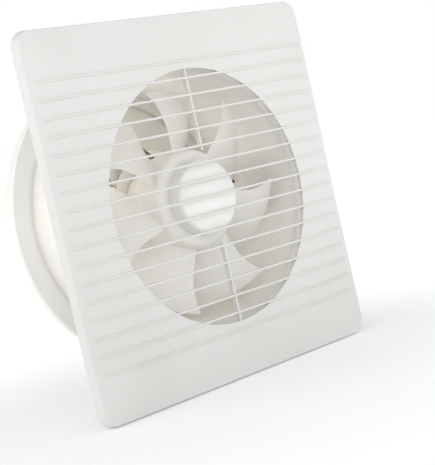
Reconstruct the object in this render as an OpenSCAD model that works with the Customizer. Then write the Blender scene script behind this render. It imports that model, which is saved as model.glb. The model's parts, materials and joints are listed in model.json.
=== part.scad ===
// Wall-mounted bathroom extractor fan.
// +Z is up, the grille faces -Y and the duct runs along +Y into the wall.
// The origin is on the duct axis, in the plane of the wall.

/* [Front grille] */
// Width and height of the square front grille
panel_w = 240; // [220:1:260]
// Distance from the wall to the front face
panel_t = 11.4; // [10:0.1:14]
// Thickness of the grille's plate
plate_t = 2.2; // [1.6:0.1:3]
// Radius of the round corners
corner_r = 10.3; // [6:0.1:16]
// Radius of the air opening
opening_r = 83.5; // [82:0.1:86]
// Number of horizontal bars
bar_count = 17; // [13:2:19]
// Distance from one bar to the next
bar_pitch = 11.07; // [9:0.01:12]
// Height of one bar
bar_h = 1.5; // [1:0.1:2.5]
// How far the bars stand out of the plate
bar_rise = 0.9; // [0.2:0.1:1]
// How far the front face bulges in front of its outer edge
crown_h = 4.6; // [4:0.1:5]
// Width of the border over which it bulges
crown_w = 34; // [32:0.5:36]

/* [Duct] */
// Inner radius of the duct
duct_r = 83.4; // [83:0.1:83.6]
// Thickness of the duct's wall
duct_t = 1.5; // [1.4:0.1:1.8]
// Where the duct ends behind the wall plane
duct_end = 76; // [72:0.5:78]
// Outer radius of the rear collar
collar_r = 101.3; // [98:0.1:106]

/* [Impeller] */
// Number of blades
blade_count = 7; // [5:1:8]
// Radius of the blade tips
tip_r = 75.6; // [70:0.1:76]
// Outer radius of the hub
hub_r = 33; // [32:0.1:35]
// Radius of the domed cap
cap_r = 25; // [20:0.1:26]
// Height of the cap's dome
cap_dome = 1.1; // [0.5:0.1:1.2]
// Blade chord at the root
root_chord = 31; // [24:0.5:33]
// Widest blade chord
wide_chord = 56; // [40:0.5:57]
// Blade pitch at the root, in degrees
root_pitch = 39; // [36:1:50]
// Blade pitch at the tip, in degrees
tip_pitch = 25; // [18:1:32]

/* [Motor] */
// Outer radius of the motor's shell
motor_r = 28; // [26:0.1:28.5]
// Radius of the shaft
shaft_r = 3; // [2.5:0.1:3.5]

/* [Fixings] */
// Distance between the wall screws, both ways
screw_spacing = 200; // [190:1:206]
// Radius of the wall screw holes
screw_hole_r = 2.25; // [2:0.05:2.75]
// Radius of the hole for the supply cable
cable_r = 3.75; // [3:0.05:4]

/* [Back-draught shutter] */
// Radius of the two leaves
leaf_r = 80; // [79:0.1:80.4]
// Thickness of a leaf
leaf_t = 1.2; // [1:0.1:1.6]
// Radius of the hinge pin
pin_r = 1.2; // [1:0.05:1.4]

/* [Hidden] */
$fn = 96;
e = 0.01;
face_y = -panel_t;
plate_back = face_y + plate_t;
base_t = 2;
base_half = panel_w / 2 - 2.6;
skirt_end = -0.35;
skirt_draft = 0.9;
edge_r = 1;
wall_in = 2;
rim_half = panel_w / 2 - 8;
rim_front = -5.6;
prong_x = 105;
prong_z = 46;
post_end = 30;
bar_inset = 3.8;
duct_out = duct_r + duct_t;
flange_r = 93;
flange_front = -4;
flange_screw_r = 89.5;
gasket_in = 106;
gasket_out = 112;
gasket_t = 1;
hub_front = 3;
cap_rim_y = -7.6;
hub_back = 29;
hub_wall = 2;
hub_turn = 9;
boss_r = 7;
boss_back = 15;
pin_y = 13.4;
blade_front = 9;
blade_t = 2.4;
blade_start = 1.5;
blade_sweep = 5;
blade_camber = 2.2;
full_span = 0.78;
span_steps = 13;
chord_steps = 8;
motor_front = 16;
motor_split = 41.2;
motor_back = 60;
shell_t = 1.2;
core_front = 28;
core_back = 48;
core_r = motor_r - shell_t - 0.05;
air_gap_r = 15.6;
slot_count = 8;
seat_in = 8.2;
seat_out = 10.5;
vent_y0 = 47.6;
vent_y1 = 57;
vent_h = 21;
ear_r = 33;
ear_count = 3;
mount_t = 2.2;
seat_front = motor_split + mount_t;
seat_t = 3.2;
arm_back = 50.6;
arm_count = 3;
foot_screw_y = 47;
lead_y = 56.2;
lead_r = 2;
lip_y = 69;
collar_back = 83.4;
sleeve_r = duct_out + 0.05;
sleeve_out = sleeve_r + 2.05;
sleeve_y = 70;
sleeve_screw_y = 73.4;
lip_r = 87.5;
outlet_r = leaf_r + 1.5;
shut_front = duct_end + 0.2;
shut_back = collar_back - 2.2;
leaf_y = shut_back + 0.4 + leaf_t / 2;
pin_half = leaf_r + 0.9;
frame_in = leaf_r - 3.5;
post_in = leaf_r - 2.5;
bridge_half = 5.4;
bridge_t = 2.2;
knuckle_r = 2.6;
knuckle_h = 12;
leaf_gap = 4;
spring_r = 1.95;
spring_wire = 0.35;
spring_turns = 6;
spring_pitch = 0.9;
box_in = sleeve_r;
box_floor = sleeve_r + 1.8;
box_x = 100;
pad_x = duct_out + 3.4;
pad_half = 13;
block_y = [13, 23];
block_h = 8.6;
pole_z = [-8, 0, 8];
pole_y = [15.5, 20.5];
capacitor_y = [32, 46];
capacitor_h = 9.6;
box_half = 18;
box_y0 = 6;
box_y1 = 62;
box_t = 1.6;
lid_t = 1.7;
gland_y = 18;
gland_x = 93.6;
gland_len = 10;
lid_posts = [[box_y0 + 2.6, box_half - 2.6], [box_y1 - 2.6, 2.6 - box_half]];
WHITE = [0.93, 0.93, 0.91];
IVORY = [0.86, 0.84, 0.79];
STEEL = [0.62, 0.63, 0.65];
DARK = [0.16, 0.15, 0.14];
BRASS = [0.8, 0.66, 0.35];

// A cylinder along +Y from y0 to y1
module rod(r, y0, y1) {
    translate([0, y0, 0]) rotate([-90, 0, 0]) cylinder(r = r, h = y1 - y0);
}

// A ring along +Y from y0 to y1
module tube(r_in, r_out, y0, y1) {
    difference() {
        rod(r_out, y0, y1);
        rod(r_in, y0 - 1, y1 + 1);
    }
}

// A solid of revolution about Y, from [radius, y] points
module turned(points) {
    rotate([-90, 0, 0]) rotate_extrude() polygon(points);
}

// A box from one corner to the other
module block(low, high) {
    translate(low) cube(high - low);
}

// A square slab with round corners, from y0 to y1
module slab(half, r, y0, y1) {
    block([-half, y0, -half + r], [half, y1, half - r]);
    block([-half + r, y0, -half], [half - r, y1, half]);
    for (x = [-1, 1], z = [-1, 1])
        translate([x * (half - r), 0, z * (half - r)]) rod(r, y0, y1);
}

// The same slab, thin and coarse, for hull()
module layer(half, r, y) {
    for (x = [-1, 1], z = [-1, 1])
        translate([x * (half - r), 0, z * (half - r)]) rod(r, y, y + 0.02, $fn = 32);
}

// Copies of the children at equal angles about Y
module around(count, start = 0) {
    for (i = [0 : count - 1]) rotate([0, start + i * 360 / count, 0]) children();
}

// A cheese-head screw along +Y: its head ends at y, its shank runs to y + len
module screw(y, len, r = 1.5, head_r = 2.9, head_h = 2) {
    difference() {
        rod(head_r, y - head_h, y, $fn = 32);
        for (turn = [0, 90])
            rotate([0, turn, 0]) block([-2, y - head_h - 1, -0.35], [2, y - head_h + 0.9, 0.35]);
    }
    rod(r, y - e, y + len, $fn = 32);
}

// ---- Front grille: plate, bars, skirt and four prongs ----

// Where the bulging front face is, at a distance inside the panel's outline
function crown_y(d) =
    face_y + crown_h * (1 - sin(90 * min(1, max(0, d - edge_r) / (crown_w - edge_r))));

module grille_shell() {
    half = panel_w / 2;
    difference() {
        hull() {
            layer(half + skirt_draft, corner_r + skirt_draft, skirt_end);
            layer(half, corner_r, crown_y(0) + edge_r);
            layer(half - 0.3 * edge_r, corner_r - 0.3 * edge_r, crown_y(0) + 0.3 * edge_r);
            for (d = [1, 5, 10, 16, 22, 28, crown_w]) layer(half - d, corner_r - edge_r, crown_y(d));
        }
        hull() {
            layer(half - wall_in, corner_r - wall_in, 1);
            layer(half - wall_in, corner_r - wall_in, crown_y(0) + plate_t + 0.2);
            for (d = [4, 10, 16, 22, 28, crown_w])
                layer(half - d, corner_r - wall_in, crown_y(d) + plate_t);
        }
        rod(opening_r, face_y - 1, plate_back + 1);
    }
}

// The front part of a bar, seen from above: it follows the bulge of the face
module bar_outline() {
    half = panel_w / 2;
    insets = [bar_inset, 9, 14, 20, 27, crown_w];
    ends = [for (d = insets) [half - d, crown_y(d)]];
    polygon(concat(
        [for (p = ends) [p[0], p[1] - bar_rise]],
        [for (i = [5 : -1 : 0]) [-ends[i][0], ends[i][1] - bar_rise]],
        [for (p = ends) [-p[0], p[1] + 0.5]],
        [for (i = [5 : -1 : 0]) [ends[i][0], ends[i][1] + 0.5]]));
}

module grille_bars() {
    for (i = [0 : bar_count - 1]) {
        z = (i - (bar_count - 1) / 2) * bar_pitch;
        chord = abs(z) < opening_r ? sqrt(opening_r * opening_r - z * z) + 1 : 0;
        translate([0, 0, z - bar_h / 2]) linear_extrude(height = bar_h) bar_outline();
        if (chord > 0)
            block([-chord, face_y + 0.4, z - bar_h / 2], [chord, plate_back, z + bar_h / 2]);
    }
    for (turn = [0, 180]) rotate([0, turn, 0]) {
        block([-0.75, face_y - 0.1, post_end], [0.75, plate_back, opening_r + 1]);
        block([-0.75, plate_back - e, post_end], [0.75, plate_back + 1.2, duct_r - 1]);
    }
}

module front_grille() {
    color(WHITE) {
        grille_shell();
        grille_bars();
        for (x = [-1, 1], z = [-1, 1])
            translate([x * prong_x, 0, z * prong_z])
                block([-1, plate_back - e, -4], [1, -base_t - 0.75, 4]);
    }
}

// ---- Base frame, gasket and inlet ring ----

module base_frame() {
    color(WHITE) difference() {
        union() {
            slab(base_half, corner_r - 2.6, -base_t, 0);
            difference() {
                slab(rim_half, corner_r - 6, rim_front, -base_t + e);
                slab(rim_half - 1.8, corner_r - 7.8, rim_front - 1, 1);
            }
            for (x = [-1, 1], z = [-1, 1]) {
                translate([x * screw_spacing / 2, 0, z * screw_spacing / 2])
                    rod(6, -base_t - 2, -base_t + e);
                translate([x * prong_x, 0, z * prong_z])
                    block([-3, rim_front, -6], [3, -base_t + e, 6]);
            }
        }
        rod(duct_out + 0.1, -10, 1);
        for (x = [-1, 1], z = [-1, 1]) {
            translate([x * screw_spacing / 2, 0, z * screw_spacing / 2]) rod(screw_hole_r, -10, 1);
            translate([x * prong_x, 0, z * prong_z])
                block([-1.35, rim_front - 1, -4.35], [1.35, -base_t - e, 4.35]);
        }
        around(4, 45) translate([flange_screw_r, 0, 0]) rod(1.55, -10, -0.4);
        tube(gasket_in, gasket_out, -gasket_t, 1);
    }
}

module wall_gasket() {
    color(DARK) tube(gasket_in + 0.1, gasket_out - 0.1, -gasket_t, 0);
}

module inlet_ring() {
    front = plate_back + 0.3;
    color(IVORY) difference() {
        turned([[duct_r, flange_front], [opening_r + 0.1, front],
            [flange_r - 1, front], [flange_r - 1, flange_front]]);
        around(4, 45) translate([flange_screw_r, 0, 0]) rod(3.2, flange_front - 2.4, flange_front + 1);
    }
}

// ---- Duct and rear collar ----

module duct_tube() {
    color(IVORY) difference() {
        union() {
            rod(duct_out, flange_front, duct_end);
            rod(flange_r, flange_front, -base_t);
        }
        rod(duct_r, flange_front - 1, duct_end + 1);
        around(4, 45) translate([flange_screw_r, 0, 0]) rod(1.6, flange_front - 1, 0);
        around(arm_count) translate([0, foot_screw_y, 0]) rotate([0, 90, 0]) translate([0, 0, 70])
            cylinder(r = 1.6, h = 20);
        around(4, 45) translate([0, sleeve_screw_y, 0]) rotate([0, 90, 0]) translate([0, 0, 70])
            cylinder(r = 1.6, h = 20);
        translate([70, lead_y, 0]) rotate([0, 90, 0]) cylinder(r = 4, h = 20);
    }
}

module duct_screws() {
    color(STEEL) around(4, 45) translate([flange_screw_r, 0, 0]) screw(flange_front, 3.4);
}

module rear_collar() {
    color(WHITE) difference() {
        turned([
            [lip_r, lip_y], [collar_r - 1, lip_y - 0.5], [collar_r, lip_y + 0.5],
            [collar_r - 4.6, collar_back - 1], [collar_r - 5.8, collar_back],
            [outlet_r, collar_back], [outlet_r, collar_back - 2], [sleeve_r, collar_back - 2],
            [sleeve_r, sleeve_y], [sleeve_out, sleeve_y], [sleeve_out, collar_back - 2],
            [collar_r - 7.5, collar_back - 2], [collar_r - 6.7, collar_back - 2.6],
            [collar_r - 2.8, lip_y + 2], [lip_r, lip_y + 2]]);
        around(4, 45) translate([0, sleeve_screw_y, 0]) rotate([0, 90, 0]) translate([0, 0, 70])
            cylinder(r = 1.6, h = 20);
    }
}

module collar_screws() {
    color(STEEL) around(4, 45) translate([0, sleeve_screw_y, 0]) rotate([0, 0, -90])
        translate([0, duct_r - 0.05, 0]) screw(0, 3.8, 1.5, 2.2, 1.2);
}

// ---- Motor spider and its fixings ----

module motor_spider() {
    color(IVORY) difference() {
        union() {
            tube(motor_r + 0.6, 38, seat_front, seat_front + seat_t);
            around(arm_count) {
                block([36, seat_front, -3], [duct_r - 1, arm_back, 3]);
                intersection() {
                    tube(duct_r - 2.6, duct_r - 0.05, seat_front, arm_back);
                    block([60, 0, -9], [90, 80, 9]);
                }
            }
            translate([52, 0, 0]) block([-3, arm_back - e, -3.4], [3, lead_y + 3.2, 3.4]);
        }
        around(ear_count, 60) translate([ear_r, 0, 0]) rod(1.55, 40, 50);
        around(arm_count) translate([0, foot_screw_y, 0]) rotate([0, 90, 0]) translate([0, 0, 66])
            cylinder(r = 1.5, h = 20);
        translate([40, lead_y, 0]) rotate([0, 90, 0]) cylinder(r = lead_r + 0.05, h = 30);
    }
}

module spider_screws() {
    color(STEEL) around(arm_count) translate([0, foot_screw_y, 0]) rotate([0, 0, 90])
        translate([0, -duct_out, 0]) screw(0, 8, 1.45, 2.6, 1.4);
}

module rubber_mounts() {
    color(DARK) around(ear_count, 60) translate([ear_r, 0, 0])
        tube(1.6, 4.4, motor_split, motor_split + mount_t);
}

module motor_screws() {
    color(STEEL) around(ear_count, 60) translate([ear_r, 0, 0]) screw(motor_split - shell_t, 10, 1.45);
}

// ---- Motor ----

module motor_shell_front() {
    color(IVORY) difference() {
        union() {
            rod(motor_r, motor_front, motor_split);
            rod(seat_out, motor_front, motor_front + 6);
            around(ear_count, 60) {
                translate([ear_r, 0, 0]) rod(4.6, motor_split - shell_t, motor_split);
                block([motor_r - 3, motor_split - shell_t, -4.6], [ear_r, motor_split, 4.6]);
            }
        }
        difference() {
            rod(motor_r - shell_t, motor_front + shell_t, motor_split + 1);
            rod(seat_out, motor_front, motor_front + 6);
        }
        rod(seat_in, motor_front - 1, motor_front + 7);
        around(ear_count, 60) translate([ear_r, 0, 0]) rod(1.6, 35, 45);
        around(6) translate([18, 0, 0]) rod(3.2, motor_front - 1, motor_front + 3);
    }
}

module motor_shell_rear() {
    front = motor_split + 0.05;
    color(IVORY) difference() {
        union() {
            rod(motor_r, front, motor_back);
            rod(seat_out, motor_back - 6, motor_back);
        }
        difference() {
            rod(motor_r - shell_t, front - 1, motor_back - shell_t);
            rod(seat_out, motor_back - 6, motor_back);
        }
        rod(seat_in, motor_back - 7, motor_back - shell_t);
        around(4, 45) block([15, vent_y0, -vent_h / 2], [motor_r + 5, vent_y1, vent_h / 2]);
        around(6, 30) translate([18, 0, 0]) rod(3.2, motor_back - 3, motor_back + 1);
        translate([20, lead_y, 0]) rotate([0, 90, 0]) cylinder(r = lead_r + 0.1, h = 12);
    }
}

module stator_core() {
    color(DARK) difference() {
        tube(air_gap_r, core_r, core_front, core_back);
        around(slot_count) {
            block([air_gap_r - 1, core_front - 1, -0.9], [19, core_back + 1, 0.9]);
            translate([20.5, 0, 0]) rod(2.6, core_front - 1, core_back + 1, $fn = 32);
        }
    }
}

module stator_windings() {
    color([0.72, 0.4, 0.2]) {
        for (y0 = [core_front - 5.4, core_back + 0.2]) tube(17, 25, y0, y0 + 5.2);
        around(slot_count) translate([20.5, 0, 0])
            rod(2.4, core_front - 0.3, core_back + 0.3, $fn = 32);
    }
}

module rotor_core() {
    color(STEEL) tube(shaft_r + 0.01, air_gap_r - 0.4, core_front, core_back);
}

module motor_shaft() {
    color(STEEL) difference() {
        rod(shaft_r, -3, motor_back - shell_t - 0.6);
        translate([-10, pin_y, 0]) rotate([0, 90, 0]) cylinder(r = 1.25, h = 20);
    }
}

module bearing(y0) {
    color(BRASS) tube(shaft_r + 0.04, seat_in - 0.05, y0, y0 + 5);
}

module front_bearing() {
    bearing(motor_front + 0.6);
}

module rear_bearing() {
    bearing(motor_back - shell_t - 5.1);
}

// ---- Impeller ----

// Share of the span, 0 at the root and 1 at the tip, to radius
function span_r(s) = hub_r - 1.2 + (tip_r - hub_r + 1.2) * s;
function pitch(s) = root_pitch + (tip_pitch - root_pitch) * s;
function rounding(s) =
    s < full_span ? 1 : max(0.1, pow(1 - pow((s - full_span) / (1 - full_span), 3), 0.45));
function chord(s) =
    (root_chord + (wide_chord - root_chord) * sin(90 * min(1, s / full_span))) * rounding(s);
function sweep(s) = -blade_sweep * sin(180 * s);
function half_thickness(t) = blade_t / 2 * (0.3 + 0.7 * sin(180 * t));

// A point of the blade: s along the span, t along the chord, side is -1 in front and 1 behind
function blade_point(s, t, side) =
    let (r = span_r(s), c = chord(s), b = pitch(s),
         off = side * half_thickness(t) - blade_camber * sin(180 * t) * c / wide_chord,
         a = sweep(s) - (t * c * cos(b) - off * sin(b)) / r * 180 / PI)
    [r * cos(a), blade_front + t * c * sin(b) + off * cos(b), r * sin(a)];

function side_points(side) = [for (i = [0 : span_steps - 1], j = [0 : chord_steps - 1])
    blade_point(i / (span_steps - 1), j / (chord_steps - 1), side)];

module blade() {
    n = span_steps * chord_steps;
    last = span_steps - 1;
    edge = chord_steps - 1;
    function at(i, j, back) = i * chord_steps + j + (back ? n : 0);
    front = [for (i = [0 : last - 1], j = [0 : edge - 1], k = [0, 1]) k == 0
        ? [at(i, j, false), at(i + 1, j, false), at(i + 1, j + 1, false)]
        : [at(i, j, false), at(i + 1, j + 1, false), at(i, j + 1, false)]];
    back = [for (i = [0 : last - 1], j = [0 : edge - 1], k = [0, 1]) k == 0
        ? [at(i, j, true), at(i + 1, j + 1, true), at(i + 1, j, true)]
        : [at(i, j, true), at(i, j + 1, true), at(i + 1, j + 1, true)]];
    ends = [for (i = [0, last], j = [0 : edge - 1], k = [0, 1]) let (flip = i > 0)
        k == 0 ? (flip ? [at(i, j, false), at(i, j, true), at(i, j + 1, true)]
                       : [at(i, j, false), at(i, j + 1, true), at(i, j, true)])
               : (flip ? [at(i, j, false), at(i, j + 1, true), at(i, j + 1, false)]
                       : [at(i, j, false), at(i, j + 1, false), at(i, j + 1, true)])];
    rims = [for (j = [0, edge], i = [0 : last - 1], k = [0, 1]) let (flip = j > 0)
        k == 0 ? (flip ? [at(i, j, false), at(i + 1, j, true), at(i, j, true)]
                       : [at(i, j, false), at(i, j, true), at(i + 1, j, true)])
               : (flip ? [at(i, j, false), at(i + 1, j, false), at(i + 1, j, true)]
                       : [at(i, j, false), at(i + 1, j, true), at(i + 1, j, false)])];
    polyhedron(concat(side_points(-1), side_points(1)), concat(front, back, ends, rims));
}

// A quarter turn of the hub's wall, from its front face to its side
function shoulder(r, y, wide, deep) =
    [for (a = [0 : 10 : 90]) [r + wide * sin(a), y - deep * cos(a)]];
function reverse(list) = [for (i = [len(list) - 1 : -1 : 0]) list[i]];

module impeller() {
    color(IVORY) difference() {
        union() {
            turned(concat(
                [[0, hub_front], [20, hub_front], [20, 0.4], [cap_r - 1.8, 0.4], [cap_r - 1.8, hub_front]],
                shoulder(hub_r - hub_turn, hub_front + hub_turn, hub_turn, hub_turn),
                [[hub_r, hub_back], [hub_r - hub_wall, hub_back]],
                reverse(shoulder(hub_r - hub_turn, hub_front + hub_turn,
                    hub_turn - hub_wall, hub_turn - 2.5)),
                [[boss_r, hub_front + 2.5], [boss_r, boss_back], [0, boss_back]]));
            around(blade_count, -blade_start) blade();
        }
        rod(shaft_r + 0.01, -5, 20);
        block([-boss_r - 1, pin_y - 1.3, -1.3], [boss_r + 1, boss_back + 1, 1.3]);
    }
}

module drive_pin() {
    color(STEEL) translate([1 - boss_r, pin_y, 0]) rotate([0, 90, 0])
        cylinder(r = 1.2, h = 2 * boss_r - 2, $fn = 32);
}

module hub_washer() {
    color(STEEL) tube(shaft_r + 0.05, 7, 1.8, hub_front);
}

module hub_nut() {
    color(STEEL) difference() {
        rod(5.4, -1.6, 1.8, $fn = 6);
        rod(shaft_r + 0.02, -5, 5);
    }
}

// The cap's dome from the centre to the radius, level gives its rim's y
function dome(radius, level) = [for (i = [0 : 8])
    [radius * i / 8, level - cap_dome * (1 - pow(i / 8, 2.2))]];

module spinner_cap() {
    rim = 1.8;
    wall = 1.6;
    inner = dome(cap_r - rim - wall, cap_rim_y + wall);
    color(WHITE) turned(concat(
        dome(cap_r - rim, cap_rim_y),
        [for (a = [60 : -20 : 0]) [cap_r - rim + rim * cos(a), cap_rim_y + rim - rim * sin(a)]],
        [[cap_r, hub_front - 0.05], [cap_r - wall, hub_front - 0.05], [cap_r - wall, cap_rim_y + 3.6]],
        [for (i = [8 : -1 : 0]) inner[i]]));
}

// ---- Back-draught shutter ----

module shutter_frame() {
    color(IVORY) difference() {
        union() {
            tube(frame_in, sleeve_r - 0.25, shut_front, shut_back);
            block([-bridge_half, shut_front, -post_in], [bridge_half, shut_front + bridge_t, post_in]);
            for (x = [-bridge_half, bridge_half - 2])
                block([x, shut_front + bridge_t - e, -post_in], [x + 2, shut_back, post_in]);
            for (z = [-1, 1])
                block([-2.8, shut_back - e, z > 0 ? post_in : -pin_half],
                      [2.8, leaf_y + knuckle_r, z > 0 ? pin_half : -post_in]);
        }
        translate([0, leaf_y, -pin_half]) cylinder(r = pin_r, h = 2 * pin_half);
    }
}

module shutter_pin() {
    color(STEEL) translate([0, leaf_y, -pin_half + 0.1]) cylinder(r = pin_r - 0.01, h = 2 * pin_half - 0.2);
}

// The half disc on the +X side, with knuckles that start at the given heights
module leaf(starts) {
    color(IVORY) difference() {
        union() {
            intersection() {
                rod(leaf_r, leaf_y - leaf_t / 2, leaf_y + leaf_t / 2);
                block([leaf_gap, 0, -90], [90, 100, 90]);
            }
            for (z = starts) translate([0, leaf_y, z]) {
                cylinder(r = knuckle_r, h = knuckle_h);
                block([0, -leaf_t / 2, 0], [leaf_gap + 1, leaf_t / 2, knuckle_h]);
            }
            for (z = [-36, 36])
                block([leaf_gap + 6, leaf_y + leaf_t / 2 - e, z - 0.6],
                      [60, leaf_y + leaf_t / 2 + 1.4, z + 0.6]);
        }
        for (z = starts) translate([0, leaf_y, z - 1]) cylinder(r = pin_r + 0.05, h = knuckle_h + 2);
        for (z = [-1, 1])
            block([-1, 0, z > 0 ? frame_in : -90], [5, 100, z > 0 ? 90 : -frame_in]);
    }
}

module shutter_leaf_right() {
    leaf([-64, -8, 40]);
}

module shutter_leaf_left() {
    mirror([1, 0, 0]) leaf([-50, 6, 54]);
}

// A closing spring on the right leaf: a coil round the pin and a leg behind the leaf.
// Each path entry is [x, y, z, angle of the section's flat]
function spring_path() =
    let (steps = 16 * spring_turns,
         coil = [for (k = [0 : steps]) let (a = 60 + (steps - k) * 22.5)
             [spring_r * cos(a), spring_r * sin(a), k * spring_pitch / 16, a]],
         top = spring_turns * spring_pitch,
         leg_y = leaf_t / 2 + spring_wire + 0.05,
         run = (spring_r * sin(60) - leg_y) / cos(60),
         bend_x = spring_r * cos(60) + run * sin(60))
    concat(coil, [[bend_x, leg_y, top, 75], [bend_x + 11, leg_y, top, 90]]);

function wire_ring(p) = [for (b = [0 : 60 : 300])
    [p[0] + spring_wire * cos(b) * cos(p[3]), p[1] + spring_wire * cos(b) * sin(p[3]),
     p[2] + spring_wire * sin(b)]];

module spring(z) {
    path = spring_path();
    last = len(path) - 1;
    skin = [for (i = [0 : last - 1], j = [0 : 5]) let (k = (j + 1) % 6)
        [6 * i + j, 6 * i + k, 6 * i + 6 + k, 6 * i + 6 + j]];
    ends = [[5, 4, 3, 2, 1, 0], [for (j = [0 : 5]) 6 * last + j]];
    color(STEEL) translate([0, leaf_y, z])
        polyhedron([for (p = path) each wire_ring(p)], concat(skin, ends));
}

module shutter_spring_right() {
    spring(-24);
}

module shutter_spring_left() {
    mirror([1, 0, 0]) spring(24);
}

// ---- Wiring ----

module motor_lead() {
    color(WHITE) translate([motor_r - shell_t - 1, lead_y, 0]) rotate([0, 90, 0])
        cylinder(r = lead_r, h = pad_x + 1 - motor_r + shell_t + 1, $fn = 32);
}

module lead_grommet() {
    color(DARK) translate([0, lead_y, 0]) rotate([0, 90, 0]) difference() {
        union() {
            translate([0, 0, duct_r - 1.6]) cylinder(r = 5.2, h = 1.4);
            translate([0, 0, duct_r - 1.6]) cylinder(r = 3.9, h = 6);
        }
        translate([0, 0, 60]) cylinder(r = lead_r + 0.05, h = 40);
    }
}

module terminal_box() {
    color(WHITE) difference() {
        union() {
            difference() {
                block([70, box_y0, -box_half], [box_x, box_y1, box_half]);
                difference() {
                    block([60, box_y0 + box_t, -box_half + box_t],
                          [box_x + 1, box_y1 - box_t, box_half - box_t]);
                    rod(box_floor, 0, 70);
                }
            }
            for (y = [block_y, capacitor_y])
                block([duct_r, y[0] - 1, -pad_half], [pad_x, y[1] + 1, pad_half]);
            for (p = lid_posts)
                block([duct_r, p[0] - 2.6, p[1] - 2.6], [box_x, p[0] + 2.6, p[1] + 2.6]);
        }
        rod(box_in, 0, 70);
        translate([box_in - 2, lead_y, 0]) rotate([0, 90, 0]) cylinder(r = 4, h = 5);
        translate([box_in - 2, foot_screw_y, 0]) rotate([0, 90, 0]) cylinder(r = 3.2, h = 7);
        for (p = lid_posts)
            translate([pad_x, p[0], p[1]]) rotate([0, 90, 0]) cylinder(r = 1.25, h = 20);
        translate([gland_x, gland_y, -box_half - 1]) cylinder(r = 5.05, h = 4);
    }
}

module terminal_box_lid() {
    color(WHITE) difference() {
        block([box_x, box_y0, -box_half], [box_x + lid_t, box_y1, box_half]);
        for (p = lid_posts)
            translate([box_x - 1, p[0], p[1]]) rotate([0, 90, 0]) cylinder(r = 1.45, h = 5);
    }
}

module lid_screws() {
    color(STEEL) for (p = lid_posts)
        translate([box_x + lid_t, p[0], p[1]]) rotate([0, 0, 90]) screw(0, 9, 1.2, 2.2, 1.1);
}

module terminal_block() {
    color([0.9, 0.88, 0.8]) difference() {
        block([pad_x, block_y[0], 1 - pad_half], [pad_x + block_h, block_y[1], pad_half - 1]);
        for (z = pole_z) {
            translate([pad_x + 4.3, block_y[0] - 1, z]) rotate([-90, 0, 0])
                cylinder(r = 2, h = 12, $fn = 32);
            for (y = pole_y)
                translate([pad_x + 4, y, z]) rotate([0, 90, 0]) cylinder(r = 1.6, h = 6, $fn = 32);
        }
    }
}

module terminal_screws() {
    color(BRASS) for (z = pole_z, y = pole_y) translate([pad_x + 5, y, z])
        rotate([0, 90, 0]) cylinder(r = 1.5, h = 3, $fn = 32);
}

module run_capacitor() {
    color(DARK) difference() {
        block([pad_x, capacitor_y[0], 0.5 - pad_half],
              [pad_x + capacitor_h, capacitor_y[1], pad_half - 0.5]);
        for (z = [-6, 6]) translate([pad_x + capacitor_h - 0.4, 39, z]) rotate([0, 90, 0])
            cylinder(r = 1.8, h = 2, $fn = 32);
    }
}

module cable_gland() {
    top = -box_half + box_t;
    color(DARK) translate([gland_x, gland_y, 0]) difference() {
        union() {
            translate([0, 0, -box_half - gland_len]) cylinder(r = 6.2, h = gland_len);
            translate([0, 0, -box_half - 1]) cylinder(r = 5, h = top + box_half + 3);
        }
        translate([0, 0, -box_half - gland_len - 1]) cylinder(r = cable_r, h = 30);
    }
}

front_grille();
base_frame();
wall_gasket();
inlet_ring();
duct_tube();
duct_screws();
rear_collar();
collar_screws();
shutter_frame();
shutter_pin();
shutter_leaf_left();
shutter_leaf_right();
shutter_spring_left();
shutter_spring_right();
motor_spider();
spider_screws();
rubber_mounts();
motor_screws();
motor_shell_front();
motor_shell_rear();
stator_core();
stator_windings();
rotor_core();
motor_shaft();
front_bearing();
rear_bearing();
impeller();
drive_pin();
hub_washer();
hub_nut();
spinner_cap();
motor_lead();
lead_grommet();
terminal_box();
terminal_box_lid();
lid_screws();
terminal_block();
terminal_screws();
run_capacitor();
cable_gland();
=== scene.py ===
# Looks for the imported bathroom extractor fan: softened mouldings, procedural materials, soft studio.
import json
import math

import bmesh
import bpy
from mathutils import Matrix, Vector


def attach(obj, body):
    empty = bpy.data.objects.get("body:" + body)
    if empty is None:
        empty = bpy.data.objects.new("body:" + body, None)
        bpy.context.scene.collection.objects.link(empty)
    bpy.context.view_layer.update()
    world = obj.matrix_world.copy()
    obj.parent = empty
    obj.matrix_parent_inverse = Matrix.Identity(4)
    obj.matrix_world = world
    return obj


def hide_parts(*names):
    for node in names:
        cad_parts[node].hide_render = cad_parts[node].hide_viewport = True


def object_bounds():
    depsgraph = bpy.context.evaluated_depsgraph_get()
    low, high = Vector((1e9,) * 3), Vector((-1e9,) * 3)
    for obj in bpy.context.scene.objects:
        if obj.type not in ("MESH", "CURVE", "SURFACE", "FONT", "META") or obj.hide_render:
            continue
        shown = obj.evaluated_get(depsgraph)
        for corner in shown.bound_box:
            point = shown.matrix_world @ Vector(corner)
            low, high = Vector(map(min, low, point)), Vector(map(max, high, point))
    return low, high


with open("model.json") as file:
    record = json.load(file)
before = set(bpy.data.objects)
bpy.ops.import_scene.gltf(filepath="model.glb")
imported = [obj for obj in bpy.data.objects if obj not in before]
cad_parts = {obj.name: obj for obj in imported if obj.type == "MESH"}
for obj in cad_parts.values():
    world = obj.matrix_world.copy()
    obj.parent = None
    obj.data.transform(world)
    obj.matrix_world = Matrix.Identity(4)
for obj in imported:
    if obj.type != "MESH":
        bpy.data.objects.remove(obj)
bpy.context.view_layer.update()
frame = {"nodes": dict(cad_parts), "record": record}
nodes = frame["nodes"]
record = frame["record"]
body_of = {node: body for body, members in record["behaviour"]["bodies"].items() for node in members}
MM = 0.001

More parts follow.
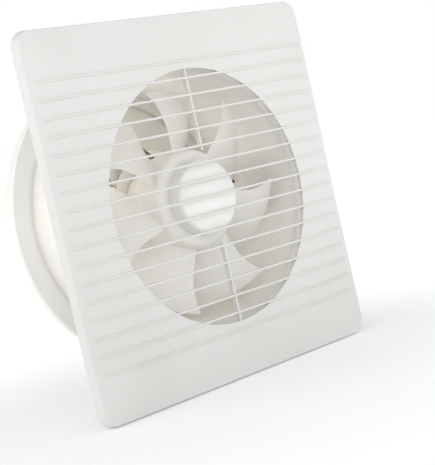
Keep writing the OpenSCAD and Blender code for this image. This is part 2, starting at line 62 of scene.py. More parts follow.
# The CAD values that the detailed pieces repeat, in millimetres; pitches, BLADE_START and BLADE_SWEEP are
# in degrees, and FULL_SPAN is a share of the blade's length
HALF, CORNER_R = 120.0, 10.3
FACE_Y, PLATE_T, SKIRT_END, EDGE_R = -11.4, 2.2, -0.35, 1.0
PLATE_BACK = FACE_Y + PLATE_T
CROWN_H, CROWN_W = 4.6, 34.0
OPENING_R, DUCT_R = 83.5, 83.4
BARS, BAR_PITCH, BAR_H, BAR_RISE, BAR_INSET = 17, 11.07, 1.5, 0.9, 3.8
UPRIGHT_END = 30.0
PRONG_X, PRONG_Z = 105.0, 46.0
HUB_R, HUB_FRONT, HUB_BACK, BOSS_R, BOSS_BACK, SHAFT_R = 33.0, 3.0, 29.0, 7.0, 15.0, 3.0
TIP_R, BLADES, BLADE_FRONT, BLADE_T = 75.6, 7, 9.0, 2.4
ROOT_CHORD, WIDE_CHORD, ROOT_PITCH, TIP_PITCH, FULL_SPAN = 31.0, 56.0, 39.0, 25.0, 0.78
BLADE_START, BLADE_SWEEP, BLADE_CAMBER, HUB_TURN = 1.5, 5.0, 2.2, 9.0
CAP_R, CAP_RIM_Y, CAP_DOME, CAP_WALL = 25.0, -7.6, 1.1, 1.6

# Details of the visible pieces, in millimetres; ROOT_FILLET and TIP_FADE are shares of the blade's length
SKIRT_DRAFT, LIP_R, BACK_LIP_R, SHELL_INSET = 0.9, 0.5, 0.3, 2.0
BAR_EDGE_R, BAR_SINK, BAR_RUN_OUT, UPRIGHT_W = 0.4, 0.05, 3.0, 1.5
BLADE_SINK, ROOT_FILLET, TIP_FADE = 1.2, 0.09, 0.96
CAP_EDGE_R, SEAT_R, SEAT_DEPTH = 2.4, 20.0, 2.6

# The studio, in metres and watts; a lobe is its direction, the cosines where it starts and is full, and
# how bright it is
FLOOR_SPAN = 12.0
ROOM_LIGHT = 0.35
ROOM_LOBES = (((-1, -0.15, 0.3), 0.1, 0.95, 1.1), ((0.1, -0.95, 0.25), 0.45, 0.95, 0.42),
              ((0.67, 0.74, 0.1), 0.3, 0.9, 0.3))
SOFTBOX_PLACE, SOFTBOX_AIM = Vector((0.45, -0.40, 0.16)), Vector((0.05, 0, 0.05))
SOFTBOX_SIZE, SOFTBOX_POWER = 0.85, 1.03
INSIDE_LAMPS, INSIDE_R, INSIDE_Y, INSIDE_SIZE = 6, 0.058, 0.039, 0.018
INSIDE_POWER, INSIDE_LEFT_GAIN, INSIDE_TOP_GAIN = 0.011, 0.0055, 0.003
INSIDE_COLOUR = (1.0, 0.975, 0.94)
CAMERA_PLACE = Vector((-0.5522, -0.6116, 0.0202))
LOOK_AZIMUTH, LOOK_DOWN, ROLL, LENS = math.radians(42.43), math.radians(3.11), math.radians(-12.80), 97.74


# ---- Materials ----

def link(tree, out, into):
    """Joins one socket to another."""
    tree.links.new(out, into)


def noise(tree, where, scale, detail=3.0, roughness=0.5):
    """Fractal noise, with its scale in waves to the metre."""
    node = tree.nodes.new("ShaderNodeTexNoise")
    node.inputs["Scale"].default_value = scale
    node.inputs["Detail"].default_value = detail
    node.inputs["Roughness"].default_value = roughness
    link(tree, where, node.inputs["Vector"])
    return node.outputs["Fac"]


def spread(tree, value, low, high, start=0.3, end=0.7):
    """A value mapped from start..end to low..high and held there."""
    node = tree.nodes.new("ShaderNodeMapRange")
    node.inputs["From Min"].default_value = start
    node.inputs["From Max"].default_value = end
    node.inputs["To Min"].default_value = low
    node.inputs["To Max"].default_value = high
    link(tree, value, node.inputs["Value"])
    return node.outputs["Result"]


def mixed(tree, factor, a, b):
    """Colour a where the factor is 0 and colour b where it is 1."""
    node = tree.nodes.new("ShaderNodeMix")
    node.data_type = "RGBA"
    link(tree, factor, node.inputs["Factor"])
    for socket, colour in ((node.inputs["A"], a), (node.inputs["B"], b)):
        if isinstance(colour, tuple):
            socket.default_value = (*colour, 1.0)
        else:
            link(tree, colour, socket)
    return node.outputs["Result"]


def bump(tree, height, depth, before=None):
    """A normal bent by a height, depth in metres, on top of the normal before."""
    node = tree.nodes.new("ShaderNodeBump")
    node.inputs["Strength"].default_value = 1.0
    node.inputs["Distance"].default_value = depth
    link(tree, height, node.inputs["Height"])
    if before is not None:
        link(tree, before, node.inputs["Normal"])
    return node.outputs["Normal"]


def stretched(tree, where, scale):
    """Coordinates scaled along each axis."""
    node = tree.nodes.new("ShaderNodeMapping")
    node.inputs["Scale"].default_value = scale
    link(tree, where, node.inputs["Vector"])
    return node.outputs["Vector"]


def start_material(name):
    """A new node material, its tree, its shader and its coordinates."""
    material = bpy.data.materials.new(name)
    material.use_nodes = True
    tree = material.node_tree
    shader = tree.nodes["Principled BSDF"]
    where = tree.nodes.new("ShaderNodeTexCoord").outputs["Object"]
    return material, tree, shader, where


def moulded(name, light, dark, rough=(0.34, 0.46), grain=(1800, 0.000004), waves=0.00002,
            coat=0.0, fleck=0.0, glow=0.0):
    """Injection-moulded plastic: slow colour drift, a spark-eroded grain and faint sink waves."""
    material, tree, shader, where = start_material(name)
    drift = noise(tree, where, 14.0, 4.0, 0.6)
    colour = mixed(tree, spread(tree, drift, 0.0, 1.0), dark, light)
    if fleck > 0:
        specks = spread(tree, noise(tree, where, 950.0, 2.0), 0.0, fleck, 0.66, 0.74)
        colour = mixed(tree, specks, colour, tuple(0.55 * c for c in dark))
    link(tree, colour, shader.inputs["Base Color"])
    fine = noise(tree, where, grain[0], 2.0)
    gloss = spread(tree, noise(tree, where, 60.0, 5.0, 0.65), rough[0], rough[1])
    link(tree, gloss, shader.inputs["Roughness"])
    soft = bump(tree, noise(tree, where, 22.0, 1.0), waves)
    link(tree, bump(tree, fine, grain[1], soft), shader.inputs["Normal"])
    shader.inputs["IOR"].default_value = 1.5
    shader.inputs["Coat Weight"].default_value = coat
    shader.inputs["Coat Roughness"].default_value = 0.08
    shader.inputs["Subsurface Weight"].default_value = glow
    shader.inputs["Subsurface Radius"].default_value = (1.0, 0.94, 0.86)
    shader.inputs["Subsurface Scale"].default_value = 0.003
    return material


def metal(name, light, dark, rough=(0.25, 0.45), lines=(1.0, 1.0, 1.0), scale=700.0):
    """Bare or plated metal: drawn or turned lines, stains and uneven gloss."""
    material, tree, shader, where = start_material(name)
    along = noise(tree, stretched(tree, where, lines), scale, 4.0, 0.6)
    stain = noise(tree, where, 90.0, 5.0, 0.7)
    link(tree, mixed(tree, spread(tree, stain, 0.0, 1.0), dark, light), shader.inputs["Base Color"])
    link(tree, spread(tree, along, rough[0], rough[1]), shader.inputs["Roughness"])
    link(tree, bump(tree, along, 0.000004), shader.inputs["Normal"])
    shader.inputs["Metallic"].default_value = 1.0
    return material


def painted(name, light, dark, rough=(0.42, 0.6)):
    """Stoved paint on pressed steel: orange peel and small lighter rubs."""
    material, tree, shader, where = start_material(name)
    rubs = spread(tree, noise(tree, where, 240.0, 6.0, 0.7), 0.0, 1.0, 0.55, 0.75)
    link(tree, mixed(tree, rubs, dark, light), shader.inputs["Base Color"])
    link(tree, spread(tree, rubs, rough[0], rough[1], 0.0, 1.0), shader.inputs["Roughness"])
    link(tree, bump(tree, noise(tree, where, 900.0, 2.0), 0.00002), shader.inputs["Normal"])
    return material


def banded(name, light, dark, direction, pitch, metallic, rough, depth, kind="BANDS"):
    """Stacked laminations or wound wire: regular lines a wire or a sheet apart."""
    material, tree, shader, where = start_material(name)
    wave = tree.nodes.new("ShaderNodeTexWave")
    wave.wave_type = kind
    if kind == "BANDS":
        wave.bands_direction = direction
    else:
        wave.rings_direction = direction
    wave.inputs["Scale"].default_value = 0.314 / pitch
    wave.inputs["Distortion"].default_value = 0.6
    wave.inputs["Detail"].default_value = 1.0
    link(tree, where, wave.inputs["Vector"])
    lines = wave.outputs["Fac"]
    drift = mixed(tree, spread(tree, noise(tree, where, 120.0, 4.0), 0.0, 1.0), dark, light)
    shade = spread(tree, lines, 0.0, 0.7, 0.0, 1.0)
    link(tree, mixed(tree, shade, tuple(0.5 * c for c in dark), drift), shader.inputs["Base Color"])
    link(tree, spread(tree, lines, rough[1], rough[0], 0.0, 1.0), shader.inputs["Roughness"])
    link(tree, bump(tree, lines, depth), shader.inputs["Normal"])
    shader.inputs["Metallic"].default_value = metallic
    return material


def cellular(name, light, dark, scale, depth, rough):
    """Rubber or foam: matt, with small cells and a dusty bloom."""
    material, tree, shader, where = start_material(name)
    cells = tree.nodes.new("ShaderNodeTexVoronoi")
    cells.inputs["Scale"].default_value = scale
    link(tree, where, cells.inputs["Vector"])
    bloom = spread(tree, noise(tree, where, 70.0, 6.0, 0.7), 0.0, 1.0, 0.35, 0.7)
    link(tree, mixed(tree, bloom, dark, light), shader.inputs["Base Color"])
    link(tree, spread(tree, bloom, rough[0], rough[1], 0.0, 1.0), shader.inputs["Roughness"])
    link(tree, bump(tree, cells.outputs["Distance"], depth), shader.inputs["Normal"])
    return material


GRILLE_WHITE = moulded("grille_plastic", (0.705, 0.702, 0.688), (0.672, 0.668, 0.652), fleck=0.05)
BASE_WHITE = moulded("base_plastic", (0.75, 0.745, 0.725), (0.71, 0.705, 0.68), fleck=0.08)
DUCT_WHITE = moulded("duct_plastic", (0.90, 0.876, 0.828), (0.85, 0.838, 0.805), (0.38, 0.52), fleck=0.08,
                    glow=0.5)
COLLAR_WHITE = moulded("collar_plastic", (0.93, 0.925, 0.90), (0.90, 0.89, 0.86), (0.4, 0.55))
BLADE_WHITE = moulded("blade_plastic", (0.85, 0.835, 0.802), (0.82, 0.803, 0.767), (0.28, 0.4),
                      grain=(1500, 0.000002), waves=0.00004)
CAP_WHITE = moulded("cap_plastic", (0.81, 0.81, 0.795), (0.79, 0.79, 0.77), (0.14, 0.2),
                    grain=(1200, 0.0000006), waves=0.000015, coat=0.5)
SPIDER_WHITE = moulded("spider_plastic", (0.90, 0.88, 0.83), (0.86, 0.84, 0.78), (0.42, 0.55), fleck=0.1)
LEAF_WHITE = moulded("leaf_plastic", (0.78, 0.765, 0.73), (0.75, 0.733, 0.695), (0.36, 0.5), fleck=0.06,
                    glow=0.3)
BOX_WHITE = moulded("box_plastic", (0.80, 0.80, 0.78), (0.76, 0.76, 0.73), (0.4, 0.55), fleck=0.08)
GLAND_BLACK = moulded("gland_nylon", (0.035, 0.035, 0.037), (0.022, 0.022, 0.024), (0.4, 0.55))
BLOCK_CREAM = moulded("terminal_resin", (0.72, 0.68, 0.58), (0.66, 0.61, 0.5), (0.3, 0.42), fleck=0.1)
CAPACITOR_BLACK = moulded("capacitor_case", (0.04, 0.04, 0.045), (0.025, 0.025, 0.03), (0.28, 0.4))
SHEATH_WHITE = moulded("lead_sheath", (0.74, 0.74, 0.72), (0.68, 0.68, 0.655), (0.45, 0.6))
MOTOR_PAINT = painted("motor_enamel", (0.88, 0.86, 0.80), (0.84, 0.81, 0.75), (0.3, 0.42))
SCREW_STEEL = metal("zinc_plate", (0.66, 0.67, 0.69), (0.5, 0.51, 0.54), (0.22, 0.42))
SHAFT_STEEL = metal("ground_steel", (0.6, 0.6, 0.61), (0.48, 0.48, 0.5), (0.14, 0.28), (1, 14, 1), 600)
PIN_STEEL = metal("drawn_wire", (0.58, 0.58, 0.6), (0.45, 0.45, 0.47), (0.25, 0.4), (1, 1, 0.05), 900)
SPRING_STEEL = metal("spring_wire", (0.5, 0.5, 0.52), (0.36, 0.36, 0.38), (0.25, 0.4), scale=1500)
BRONZE = metal("bearing_bronze", (0.62, 0.42, 0.2), (0.46, 0.3, 0.14), (0.3, 0.5), scale=1200)
BRASS = metal("terminal_brass", (0.78, 0.6, 0.28), (0.62, 0.46, 0.2), (0.25, 0.42), scale=900)
COPPER = banded("winding_copper", (0.62, 0.27, 0.12), (0.45, 0.17, 0.07), "Y", 0.00055, 0.85,
                (0.3, 0.5), 0.0001, "RINGS")
LAMINATE = banded("laminated_steel", (0.3, 0.29, 0.28), (0.2, 0.19, 0.18), "Y", 0.0005, 0.8,
                  (0.35, 0.55), 0.00004)
RUBBER = cellular("black_rubber", (0.06, 0.058, 0.055), (0.028, 0.027, 0.026), 1400.0, 0.00001, (0.6, 0.8))
FOAM = cellular("gasket_foam", (0.09, 0.088, 0.085), (0.045, 0.044, 0.043), 900.0, 0.0002, (0.85, 0.97))


# ---- Mesh helpers ----

def painted_with(mesh, material):
    """Gives the mesh this material alone."""
    mesh.materials.clear()
    mesh.materials.append(material)


def dressed(obj, node, material, sharp=32.0):
    """Shades, paints and mounts a finished piece, which stands for the CAD node."""
    mesh = obj.data
    painted_with(mesh, material)
    for polygon in mesh.polygons:
        polygon.use_smooth = True
        polygon.material_index = 0
    mesh.set_sharp_from_angle(angle=math.radians(sharp))
    normals = obj.modifiers.new("normals", "WEIGHTED_NORMAL")
    normals.keep_sharp = True
    normals.weight = 100
    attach(obj, body_of[node])
    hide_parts(node)


def placed(name, data):
    """A new object in the scene that holds the mesh, lamp or camera."""
    obj = bpy.data.objects.new(name, data)
    bpy.context.scene.collection.objects.link(obj)
    return obj


def solid(name, points, faces, on_axis=False):
    """A closed mesh object from millimetre points, with its faces turned outwards."""
    mesh = bpy.data.meshes.new(name)
    mesh.from_pydata([[c * MM for c in p] for p in points], [], faces)
    bm = bmesh.new()
    bm.from_mesh(mesh)
    bmesh.ops.remove_doubles(bm, verts=bm.verts, dist=1e-7)
    if on_axis:
        bmesh.ops.dissolve_degenerate(bm, edges=bm.edges, dist=1e-7)
    bmesh.ops.recalc_face_normals(bm, faces=bm.faces)
    bm.to_mesh(mesh)
    bm.free()
    return placed(name, mesh)


def rings(loops, close_ring=False):
    """Points and faces of equal closed loops joined one to the next; the ends are capped or joined."""
    count = len(loops[0])
    points = [p for loop in loops for p in loop]
    faces = []
    spans = len(loops) if close_ring else len(loops) - 1
    for i in range(spans):
        a, b = i * count, (i + 1) % len(loops) * count
        for j in range(count):
            k = (j + 1) % count
            faces.append((a + j, a + k, b + k, b + j))
    if not close_ring:
        faces.append(tuple(range(count)))
        faces.append(tuple(reversed(range(len(points) - count, len(points)))))
    return points, faces


def several(name, shapes):
    """One mesh object from several closed shapes, each given as points and faces."""
    points, faces = [], []
    for more, sides in shapes:
        faces += [tuple(len(points) + n for n in side) for side in sides]
        points += more
    return solid(name, points, faces)


def turned(name, profile, steps=192):
    """A solid of revolution about Y from [radius, y] points; both ends of the profile may be on the axis."""
    points, faces = [], []
    count = len(profile)
    for i in range(steps):
        a = 2 * math.pi * i / steps
        points += [(r * math.cos(a), y, r * math.sin(a)) for r, y in profile]
    for i in range(steps):
        a, b = i * count, (i + 1) % steps * count
        faces += [(a + j, a + (j + 1) % count, b + (j + 1) % count, b + j) for j in range(count)]
    return solid(name, points, faces, on_axis=True)


def rounded(corners, steps=5):
    """A closed profile from (radius, y, fillet) corners, each with its fillet as an arc."""
    out = []
    for i, (x, y, fillet) in enumerate(corners):
        here = Vector((x, y))
        to_last = Vector(corners[i - 1][:2]) - here
        to_next = Vector(corners[(i + 1) % len(corners)][:2]) - here
        if fillet <= 0:
            out.append((x, y))
            continue
        half = to_last.angle(to_next) / 2
        cut = min(fillet / math.tan(half), 0.49 * to_last.length, 0.49 * to_next.length)
        radius = cut * math.tan(half)
        middle = here + (to_last.normalized() + to_next.normalized()).normalized() * radius / math.sin(half)
        start = here + to_last.normalized() * cut - middle
        end = here + to_next.normalized() * cut - middle
        turn = start.angle_signed(end)
        for k in range(steps + 1):
            out.append(tuple(middle + Matrix.Rotation(-turn * k / steps, 2) @ start))
    return out


def joined(base, others, operation="UNION"):
    """The base object with the others added or cut away, as one clean mesh."""
    for other in others:
        step = base.modifiers.new("step", "BOOLEAN")
        step.operation = operation
        step.solver = "EXACT"
        step.object = other
    bpy.context.view_layer.update()
    graph = bpy.context.evaluated_depsgraph_get()
    mesh = bpy.data.meshes.new_from_object(base.evaluated_get(graph))
    base.modifiers.clear()
    base.data = mesh
    for other in others:
        bpy.data.objects.remove(other)
    return base


def softened(node, width, material):
    """A CAD part whose sharp edges are rounded, standing for the node it is made from."""
    mesh = nodes[node].data.copy()
    bm = bmesh.new()
    bm.from_mesh(mesh)
    bmesh.ops.remove_doubles(bm, verts=bm.verts, dist=1e-6)
    bmesh.ops.dissolve_limit(bm, angle_limit=math.radians(0.6), verts=bm.verts, edges=bm.edges)
    edges = [e for e in bm.edges if len(e.link_faces) == 2 and e.calc_face_angle(0) > math.radians(30.0)]
    bmesh.ops.bevel(bm, geom=edges, offset=width * MM, segments=2, affect="EDGES", profile=0.5,
                    clamp_overlap=True)
    bm.to_mesh(mesh)
    bm.free()
    dressed(placed(node + "_moulding", mesh), node, material, 50.0)


# ---- Front grille ----

def square_loop(half, radius, y):
    """A square outline with round corners, always with the same number of points."""
    loop = []
    for quarter in range(4):
        start = quarter * math.pi / 2
        cx = (half - radius) * (1 if quarter in (0, 3) else -1)
        cz = (half - radius) * (1 if quarter in (0, 1) else -1)
        arc = [start + math.pi / 2 * k / 14 for k in range(15)]
        loop += [(cx + radius * math.cos(a), y, cz + radius * math.sin(a)) for a in arc]
        along = Vector((-math.sin(start + math.pi / 2), 0, math.cos(start + math.pi / 2)))
        last = Vector(loop[-1])
        run = 2 * (half - radius)
        loop += [tuple(last + along * run * k / 12) for k in range(1, 12)]
    return loop


def circle_loop(radius, y, guide):
    """A circle whose points stand at the same angles as the guide's."""
    angles = [math.atan2(p[2], p[0]) for p in guide]
    return [(radius * math.cos(a), y, radius * math.sin(a)) for a in angles]


def crown_y(inset):
    """Where the bulging front face is, at a distance inside the panel's outline."""
    rise = math.sin(math.pi / 2 * min(1.0, max(0.0, inset - EDGE_R) / (CROWN_W - EDGE_R)))
    return FACE_Y + CROWN_H * (1 - rise)


def grille_plate():
    """The bulging plate with its side wall, edge and round opening, as one shell."""
    edge = crown_y(0)
    loops = [square_loop(HALF + SKIRT_DRAFT, CORNER_R + SKIRT_DRAFT, SKIRT_END),
             square_loop(HALF, CORNER_R, edge + EDGE_R)]
    for k in range(1, 7):
        a = math.radians(77) * k / 6
        inset = EDGE_R * (1 - math.cos(a))
        loops.append(square_loop(HALF - inset, CORNER_R - inset, edge + EDGE_R * (1 - math.sin(a))))
    loops += [square_loop(HALF - d, CORNER_R - EDGE_R, crown_y(d))
              for d in (1.3, 2.5, *range(4, 34, 2), CROWN_W)]
    guide = loops[-1]
    for k in range(5):
        a = math.pi / 2 * k / 4
        loops.append(circle_loop(OPENING_R + LIP_R * (1 - math.sin(a)), FACE_Y + LIP_R * (1 - math.cos(a)),
                                 guide))
    for k in range(4):
        a = math.pi / 2 * k / 3
        loops.append(circle_loop(OPENING_R + BACK_LIP_R * (1 - math.cos(a)),
                                 PLATE_BACK - BACK_LIP_R * (1 - math.sin(a)), guide))
    inner_r = CORNER_R - SHELL_INSET
    loops += [square_loop(HALF - d, inner_r, crown_y(d) + PLATE_T) for d in (CROWN_W, 28, 22, 16, 10, 4)]
    loops += [square_loop(HALF - SHELL_INSET, inner_r, y) for y in (edge + PLATE_T + 0.2, SKIRT_END)]
    return solid("grille_moulding", *rings(loops, True))


def bar_section(x, z, front, back, height):
    """One rounded, slightly drafted section of a bar at x."""
    top = height / 2 - 0.06
    r = min(BAR_EDGE_R, 0.8 * top)
    out = [(x, back, z - height / 2)]
    for k in range(5):
        a = math.pi / 2 * k / 4
        out.append((x, front + r * (1 - math.sin(a)), z - top + r * (1 - math.cos(a))))
    for k in range(5):
        a = math.pi / 2 * (1 - k / 4)
        out.append((x, front + r * (1 - math.sin(a)), z + top - r * (1 - math.cos(a))))
    out.append((x, back, z + height / 2))
    return out


def cross_bars():
    """The level ribs, which rise from the plate at their ends and go on over the opening as bars."""
    shapes = []
    insets = (BAR_INSET, 4.7, 5.6, 7.0, 8.5, *range(10, 22, 2), 23, 26, 29, CROWN_W)
    ends = [HALF - inset for inset in insets]
    for i in range(BARS):
        z = (i - (BARS - 1) / 2) * BAR_PITCH
        stations = []
        for x in [-x for x in ends] + ends[::-1]:
            rise = math.sin(math.pi / 2 * min(1.0, (HALF - BAR_INSET - abs(x)) / BAR_RUN_OUT))
            level = crown_y(HALF - abs(x))
            front = level - BAR_RISE + (BAR_RISE + BAR_SINK) * (1 - rise)
            back = level + PLATE_T - BAR_SINK
            stations.append(bar_section(x, z, front, back, BAR_H * (0.55 + 0.45 * rise)))
        shapes.append(rings(stations))
    return several("bars", shapes)


def upright_bars():
    """The short upright bars above and below the hub."""
    shapes = []
    for turn in (1, -1):
        stations = []
        for z, back in ((UPRIGHT_END, PLATE_BACK + 0.2), (UPRIGHT_END + 1.4, PLATE_BACK + 1.2),
                        (DUCT_R - 2.4, PLATE_BACK + 1.2), (DUCT_R - 1.0, PLATE_BACK - 0.1),
                        (OPENING_R + 1.0, PLATE_BACK - 0.1)):
            flat = bar_section(0, 0, FACE_Y - 0.1, back, UPRIGHT_W)
            stations.append([(w * turn, y, z * turn) for x, y, w in flat])
        shapes.append(rings(stations))
    return several("uprights", shapes)


def prongs():
    """The four tapered prongs behind the plate that go into the base frame's sockets."""
    shapes = []
    for px in (-PRONG_X, PRONG_X):
        for pz in (-PRONG_Z, PRONG_Z):
            stations = []
            for y, wide, tall in ((PLATE_BACK - 0.1, 1.0, 4.0), (-4.6, 1.0, 4.0), (-3.3, 0.9, 3.7),
                                  (-2.8, 0.55, 3.1)):
                stations.append([(px + a * wide, y, pz + b * tall)
                                 for a, b in ((-1, -0.94), (-0.8, -1), (0.8, -1), (1, -0.94),
                                              (1, 0.94), (0.8, 1), (-0.8, 1), (-1, 0.94))])
            shapes.append(rings(stations))
    return several("prongs", shapes)


grille = joined(grille_plate(), [cross_bars(), upright_bars(), prongs()])
dressed(grille, "front_grille", GRILLE_WHITE)


# ---- Impeller and its cap ----

def blade_point(s, t, off):
    """The blade's surface: s from root to tip, t from leading to trailing edge, off along its normal."""
    radius = HUB_R - BLADE_SINK + (TIP_R - HUB_R + BLADE_SINK) * s
    past = max(0.0, s - FULL_SPAN) / (1 - FULL_SPAN)
    shrink = max(0.1, (1 - min(1.0, past) ** 3) ** 0.45)
    chord = (ROOT_CHORD + (WIDE_CHORD - ROOT_CHORD) * math.sin(math.pi / 2 * min(1, s / FULL_SPAN))) * shrink
    pitch = math.radians(ROOT_PITCH + (TIP_PITCH - ROOT_PITCH) * s)
    off -= BLADE_CAMBER * math.sin(math.pi * t) * chord / WIDE_CHORD
    angle = math.radians(BLADE_START - BLADE_SWEEP * math.sin(math.pi * s))
    angle -= (t * chord * math.cos(pitch) - off * math.sin(pitch)) / radius
    return (radius * math.cos(angle), BLADE_FRONT + t * chord * math.sin(pitch) + off * math.cos(pitch),
            radius * math.sin(angle))


def blade_loop(s):
    """The blade's section at s: thin edges, a fillet at the root and a thinner tip."""
    loop = []
    count = 22
    for k in range(2 * count):
        around = math.pi * k / count
        t = 0.5 - 0.5 * math.cos(around)
        body = 0.3 + 0.7 * math.sin(math.pi * t)
        edge = min(1.0, 3.2 * math.sqrt(max(0.0, t * (1 - t))))
        root = 1 + 1.6 * max(0.0, 1 - s / ROOT_FILLET) ** 2
        tip = 1.0 if s < TIP_FADE else 1 - 0.45 * ((s - TIP_FADE) / (1 - TIP_FADE)) ** 2
        off = BLADE_T / 2 * body * edge * root * tip * (1 if k < count else -1)
        loop.append(blade_point(s, t, -off))
    return loop


def blades():
    """All the blades: one swept and twisted shape, turned round the shaft."""
    spans = [0.0, 0.02, 0.04, 0.06, ROOT_FILLET]
    spans += [ROOT_FILLET + (FULL_SPAN - ROOT_FILLET) * k / 14 for k in range(1, 15)]
    spans += [1 - (1 - FULL_SPAN) * (1 - k / 16) ** 1.8 for k in range(1, 17)]
    shape, sides = rings([blade_loop(s) for s in spans])
    turns = [Matrix.Rotation(-2 * math.pi * i / BLADES, 3, "Y") for i in range(BLADES)]
    return several("blades", [([tuple(turn @ Vector(p)) for p in shape], sides) for turn in turns])


hub = turned("impeller_moulding", rounded([
    (SHAFT_R + 0.01, HUB_FRONT, 0), (SEAT_R, HUB_FRONT, 0), (SEAT_R, HUB_FRONT - SEAT_DEPTH, 0.2),
    (CAP_R - 1.8, HUB_FRONT - SEAT_DEPTH, 0.2),
    (CAP_R - 1.8, HUB_FRONT, 0), (HUB_R, HUB_FRONT, HUB_TURN), (HUB_R, HUB_BACK, 0.5),
    (HUB_R - 2, HUB_BACK, 0.5), (HUB_R - 2, HUB_FRONT + 2.5, HUB_TURN - 2.3), (BOSS_R, HUB_FRONT + 2.5, 0.8),
    (BOSS_R, BOSS_BACK, 0.3), (SHAFT_R + 0.01, BOSS_BACK, 0)], 10))
impeller = joined(hub, [blades()])
dressed(impeller, "impeller", BLADE_WHITE, 40.0)


def cap_profile():
    """The hub cap's section: domed front, round rim, straight skirt and the hollow behind."""
    rim, flat = CAP_EDGE_R, CAP_R - CAP_EDGE_R
    outer = [(flat * k / 10, CAP_RIM_Y - CAP_DOME * (1 - (k / 10) ** 2.2)) for k in range(11)]
    outer += [(flat + rim * math.sin(a), CAP_RIM_Y + rim * (1 - math.cos(a)))
              for a in (math.pi / 2 * k / 8 for k in range(1, 9))]
    foot = HUB_FRONT - 0.05
    skirt = [(CAP_R, foot - 0.3), (CAP_R - 0.25, foot), (CAP_R - CAP_WALL, foot)]
    inside = flat - CAP_WALL + 0.8
    inner = [(CAP_R - CAP_WALL, CAP_RIM_Y + 3.6)]
    inner += [(inside * k / 10, CAP_RIM_Y + CAP_WALL - CAP_DOME * (1 - (k / 10) ** 2.2))
              for k in range(10, -1, -1)]
    return outer + skirt + inner


cap = turned("cap_moulding", cap_profile())
dressed(cap, "spinner_cap", CAP_WHITE, 40.0)


# ---- Everything else keeps its CAD shape, with edges rounded where they show ----

SOFT_PARTS = {
    "base_frame": (0.35, BASE_WHITE), "inlet_ring": (0.25, DUCT_WHITE), "duct_tube": (0.4, DUCT_WHITE),
    "rear_collar": (0.4, COLLAR_WHITE), "shutter_frame": (0.25, LEAF_WHITE),
    "shutter_leaf_left": (0.25, LEAF_WHITE), "shutter_leaf_right": (0.25, LEAF_WHITE),
    "motor_spider": (0.35, SPIDER_WHITE), "motor_shell_front": (0.35, MOTOR_PAINT),
    "motor_shell_rear": (0.35, MOTOR_PAINT), "terminal_box": (0.35, BOX_WHITE),
    "terminal_box_lid": (0.4, BOX_WHITE), "cable_gland": (0.4, GLAND_BLACK),
    "lid_screws": (0.1, SCREW_STEEL), "collar_screws": (0.1, SCREW_STEEL),
    "spider_screws": (0.1, SCREW_STEEL), "duct_screws": (0.1, SCREW_STEEL),
    "motor_screws": (0.1, SCREW_STEEL), "hub_nut": (0.25, SCREW_STEEL), "wall_gasket": (0.15, FOAM),
    "run_capacitor": (0.5, CAPACITOR_BLACK), "terminal_block": (0.2, BLOCK_CREAM),
}
PLAIN_PARTS = {
    "shutter_pin": PIN_STEEL, "shutter_spring_left": SPRING_STEEL, "shutter_spring_right": SPRING_STEEL,
    "rubber_mounts": RUBBER, "stator_core": LAMINATE, "stator_windings": COPPER, "rotor_core": LAMINATE,
    "motor_shaft": SHAFT_STEEL, "front_bearing": BRONZE, "rear_bearing": BRONZE, "drive_pin": PIN_STEEL,
    "hub_washer": SCREW_STEEL, "motor_lead": SHEATH_WHITE, "lead_grommet": RUBBER, "terminal_screws": BRASS,
    "front_grille": GRILLE_WHITE, "impeller": BLADE_WHITE, "spinner_cap": CAP_WHITE,
}
for node, (width, material) in SOFT_PARTS.items():
    softened(node, width, material)
    painted_with(nodes[node].data, material)
for node, material in PLAIN_PARTS.items():
    painted_with(nodes[node].data, material)


# ---- Studio: floor, soft light, camera ----

def make_floor():
    """A pale paper floor under the object, which glows more with distance so that it fades out."""
    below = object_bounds()[0].z
    mesh = bpy.data.meshes.new("floor")
    corners = [(-FLOOR_SPAN, -FLOOR_SPAN), (FLOOR_SPAN, -FLOOR_SPAN), (FLOOR_SPAN, FLOOR_SPAN),
               (-FLOOR_SPAN, FLOOR_SPAN)]
    mesh.from_pydata([(x, y, below) for x, y in corners], [], [(0, 1, 2, 3)])
    floor = placed("floor", mesh)
    paper, tree, shader, where = start_material("floor_paper")
    tone = mixed(tree, noise(tree, where, 3.0, 3.0), (0.86, 0.86, 0.86), (0.88, 0.88, 0.88))
    link(tree, tone, shader.inputs["Base Color"])
    shader.inputs["Roughness"].default_value = 0.9
    ball = tree.nodes.new("ShaderNodeTexGradient")
    ball.gradient_type = "SPHERICAL"
    link(tree, stretched(tree, where, (0.7, 0.7, 0.7)), ball.inputs["Vector"])
    link(tree, spread(tree, ball.outputs["Fac"], 0.7, 0.14, 0.35, 0.9), shader.inputs["Emission Strength"])
    shader.inputs["Emission Color"].default_value = (1, 1, 1, 1)
    mesh.materials.append(paper)


def lobe(tree, where, direction, outer, inner, value):
    """Brightness that rises smoothly towards one direction of the room, between two cosines."""
    dot = tree.nodes.new("ShaderNodeVectorMath")
    dot.operation = "DOT_PRODUCT"
    link(tree, where, dot.inputs[0])
    dot.inputs[1].default_value = Vector(direction).normalized()
    rise = tree.nodes.new("ShaderNodeMapRange")
    rise.interpolation_type = "SMOOTHSTEP"
    rise.inputs["From Min"].default_value = outer
    rise.inputs["From Max"].default_value = inner
    rise.inputs["To Min"].default_value = 0.0
    rise.inputs["To Max"].default_value = value
    link(tree, dot.outputs["Value"], rise.inputs["Value"])
    return rise.outputs["Result"]


def combined(tree, operation, value, other):
    """Two values added, or the larger of the two; the second may be a plain number."""
    node = tree.nodes.new("ShaderNodeMath")
    node.operation = operation
    link(tree, value, node.inputs[0])
    if isinstance(other, float):
        node.inputs[1].default_value = other
    else:
        link(tree, other, node.inputs[1])
    return node.outputs["Value"]


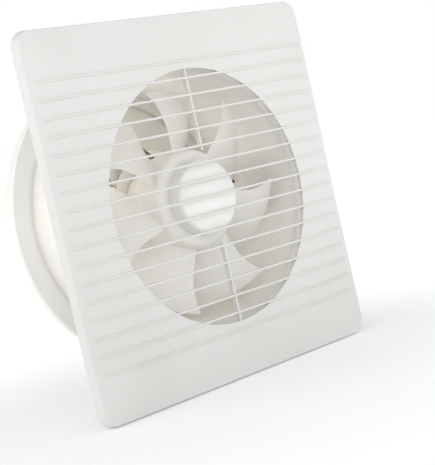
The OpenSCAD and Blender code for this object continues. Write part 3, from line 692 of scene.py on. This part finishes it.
def make_world():
    """A soft room that is brighter to the left, in front and behind, and plain white where it is seen."""
    world = bpy.data.worlds.new("studio")
    bpy.context.scene.world = world
    world.use_nodes = True
    tree = world.node_tree
    where = tree.nodes.new("ShaderNodeTexCoord").outputs["Generated"]
    strength = ROOM_LIGHT
    for direction, outer, inner, value in ROOM_LOBES:
        strength = combined(tree, "ADD", lobe(tree, where, direction, outer, inner, value), strength)
    seen = tree.nodes.new("ShaderNodeLightPath").outputs["Is Camera Ray"]
    background = tree.nodes["Background"]
    link(tree, combined(tree, "MAXIMUM", strength, seen), background.inputs["Strength"])
    background.inputs["Color"].default_value = (1, 1, 1, 1)


def make_softbox():
    """One large, gentle light in front and to the right."""
    lamp = bpy.data.lights.new("softbox", "AREA")
    lamp.size = SOFTBOX_SIZE
    lamp.energy = SOFTBOX_POWER
    softbox = placed("softbox", lamp)
    softbox.location = SOFTBOX_PLACE
    softbox.rotation_mode = "QUATERNION"
    softbox.rotation_quaternion = (SOFTBOX_AIM - SOFTBOX_PLACE).to_track_quat("-Z", "Y")
    softbox.visible_camera = False


def make_inside_lamps():
    """Light that reaches the inside through the thin mouldings, more at the left and the top."""
    for k in range(INSIDE_LAMPS):
        a = 2 * math.pi / INSIDE_LAMPS * (k + 0.5)
        lamp = bpy.data.lights.new("inside", "POINT")
        lamp.energy = INSIDE_POWER - INSIDE_LEFT_GAIN * math.cos(a) + INSIDE_TOP_GAIN * math.sin(a)
        lamp.shadow_soft_size = INSIDE_SIZE
        lamp.color = INSIDE_COLOUR
        inside = placed("inside", lamp)
        inside.location = (INSIDE_R * math.cos(a), INSIDE_Y, INSIDE_R * math.sin(a))
        inside.visible_camera = False
        inside.visible_glossy = False


def make_camera():
    """A long lens that looks at the front from the left, slightly down and rolled."""
    level_share = math.cos(LOOK_DOWN)
    ahead = Vector((math.sin(LOOK_AZIMUTH) * level_share, math.cos(LOOK_AZIMUTH) * level_share,
                    -math.sin(LOOK_DOWN)))
    level = ahead.cross(Vector((0, 0, 1))).normalized()
    above = level.cross(ahead)
    right = level * math.cos(ROLL) + above * math.sin(ROLL)
    top = right.cross(ahead)
    lens = bpy.data.cameras.new("camera")
    lens.lens = LENS
    lens.sensor_width = 36
    lens.clip_end = 100
    camera = placed("camera", lens)
    turn = Matrix((right, top, -ahead)).transposed().to_4x4()
    camera.matrix_world = Matrix.Translation(CAMERA_PLACE) @ turn
    bpy.context.scene.camera = camera


make_floor()
make_world()
make_softbox()
make_inside_lamps()
make_camera()
bpy.context.scene.view_settings.view_transform = "Standard"
